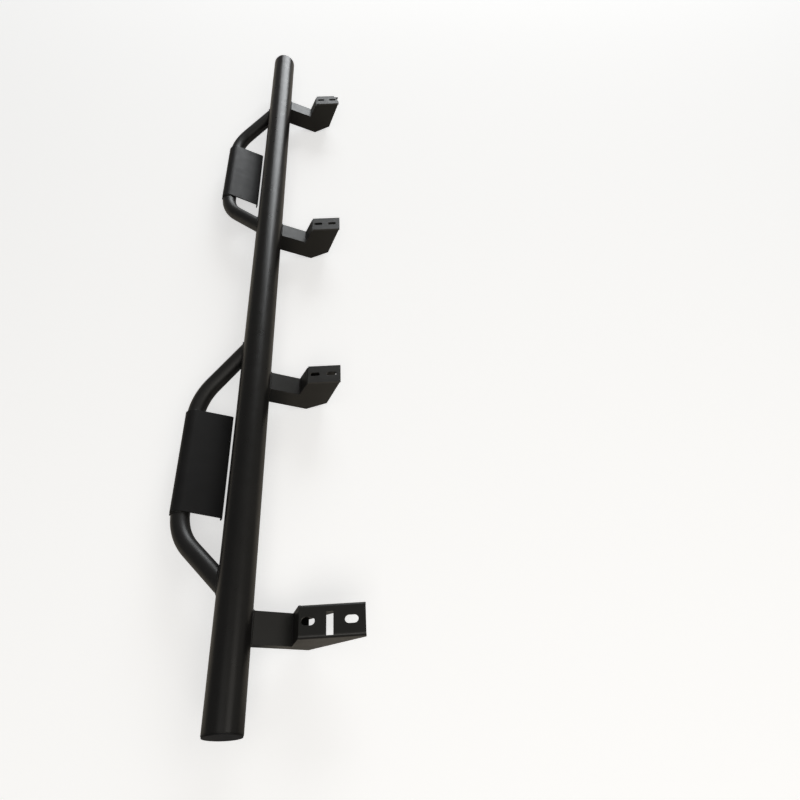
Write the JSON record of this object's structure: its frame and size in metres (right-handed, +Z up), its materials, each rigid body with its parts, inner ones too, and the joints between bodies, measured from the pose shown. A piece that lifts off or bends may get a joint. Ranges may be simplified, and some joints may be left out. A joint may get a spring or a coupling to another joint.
{
  "type": "vehicle side step",
  "caption": "Black tubular side step for a vehicle: a straight capped tube with dropped tread hoops outboard and slotted sheet-steel brackets inboard.",
  "frame": {"origin": "middle of the two slots of the middle bracket, on its mounting face", "axes": "+X inboard towards the vehicle, +Y along the main tube to its far end, +Z up out of the mounting faces"},
  "size_m": [0.4339, 2.417, 0.1384],
  "materials": {
    "black_powder_coat": "satin powder coat"
  },
  "bodies": {
    "root": {"main_tube": "black_powder_coat", "near_end_cap": "black_powder_coat", "far_end_cap": "black_powder_coat", "near_hoop": "black_powder_coat", "far_hoop": "black_powder_coat", "near_step_plate": "black_powder_coat", "far_step_plate": "black_powder_coat", "far_bracket_mount_plate": "black_powder_coat", "far_bracket_front_cheek": "black_powder_coat", "far_bracket_rear_cheek": "black_powder_coat", "far_bracket_top_strap": "black_powder_coat", "far_bracket_base_strap": "black_powder_coat", "middle_bracket_mount_plate": "black_powder_coat", "middle_bracket_front_cheek": "black_powder_coat", "middle_bracket_rear_cheek": "black_powder_coat", "middle_bracket_top_strap": "black_powder_coat", "middle_bracket_base_strap": "black_powder_coat", "near_bracket_mount_plate": "black_powder_coat", "near_bracket_front_cheek": "black_powder_coat", "near_bracket_rear_cheek": "black_powder_coat", "near_bracket_top_strap": "black_powder_coat", "near_bracket_base_strap": "black_powder_coat", "end_bracket_folded_channel": "black_powder_coat", "end_bracket_top_strap": "black_powder_coat", "end_bracket_base_strap": "black_powder_coat"}
  },
  "joints": []
}
